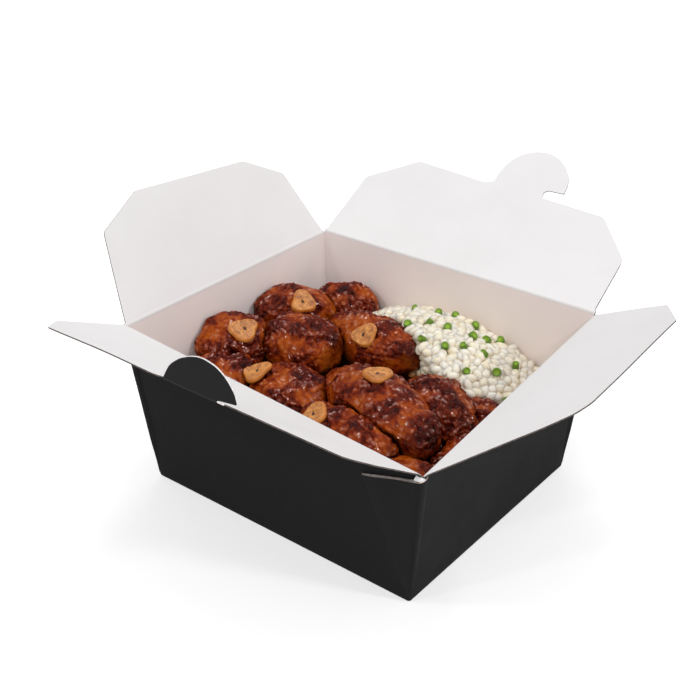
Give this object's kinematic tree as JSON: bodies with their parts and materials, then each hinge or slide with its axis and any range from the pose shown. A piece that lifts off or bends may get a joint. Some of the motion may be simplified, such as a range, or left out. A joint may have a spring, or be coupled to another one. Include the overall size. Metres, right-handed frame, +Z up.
{
  "type": "open takeaway box with glazed chicken and rice",
  "caption": "Folded board takeaway box, open, its hinged flaps turned out, filled with glazed chicken pieces, garlic slices and a mound of rice with chopped greens.",
  "frame": {"origin": "middle of the flat underside of the base, on the surface that the box stands on", "axes": "+Z up, +X along the long front wall towards the splayed corner, -Y out of the front wall with the bent tab"},
  "size_m": [0.1834, 0.2052, 0.0982],
  "materials": {
    "board": "matt black outside, white coated inside",
    "chicken": "glossy mahogany glaze",
    "garlic": "golden, slightly moist",
    "sauce": "dark glossy sauce",
    "rice": "moist translucent white grains"
  },
  "bodies": {
    "box": {"tray": "board", "sauce": "sauce", "rice": "rice", "chicken_01": "chicken", "chicken_02": "chicken", "chicken_03": "chicken", "chicken_04": "chicken", "chicken_05": "chicken", "chicken_06": "chicken", "chicken_07": "chicken", "chicken_08": "chicken", "chicken_09": "chicken", "chicken_10": "chicken", "chicken_11": "chicken", "chicken_12": "chicken", "chicken_13": "chicken", "chicken_14": "chicken", "chicken_15": "chicken", "garlic_01": "garlic", "garlic_02": "garlic", "garlic_03": "garlic", "garlic_04": "garlic", "garlic_05": "garlic", "garlic_06": "garlic"},
    "left_flap": {"flap_left": "board"},
    "back_flap": {"flap_back": "board"},
    "right_flap": {"flap_right": "board"},
    "front_flap": {"flap_front": "board"}
  },
  "joints": [
    {"name": "left_crease", "type": "hinge", "parent": "box", "child": "left_flap", "pos_m": [-0.06169, -0.05393, 0.0627], "axis": [0, 1, 0], "range_deg": [-90, 120]},
    {"name": "back_crease", "type": "hinge", "parent": "box", "child": "back_flap", "pos_m": [-0.06175, 0.054, 0.0635], "axis": [1, 0, 0], "range_deg": [-61, 143]},
    {"name": "right_crease", "type": "hinge", "parent": "box", "child": "right_flap", "pos_m": [0.06169, 0.05393, 0.0627], "axis": [0.0681, -0.9975, -0.0199], "range_deg": [-58, 151]},
    {"name": "front_crease", "type": "hinge", "parent": "box", "child": "front_flap", "pos_m": [0.06975, -0.062, 0.06116], "axis": [-0.998, 0.0607, 0.0178], "range_deg": [-59, 135]}
  ]
}
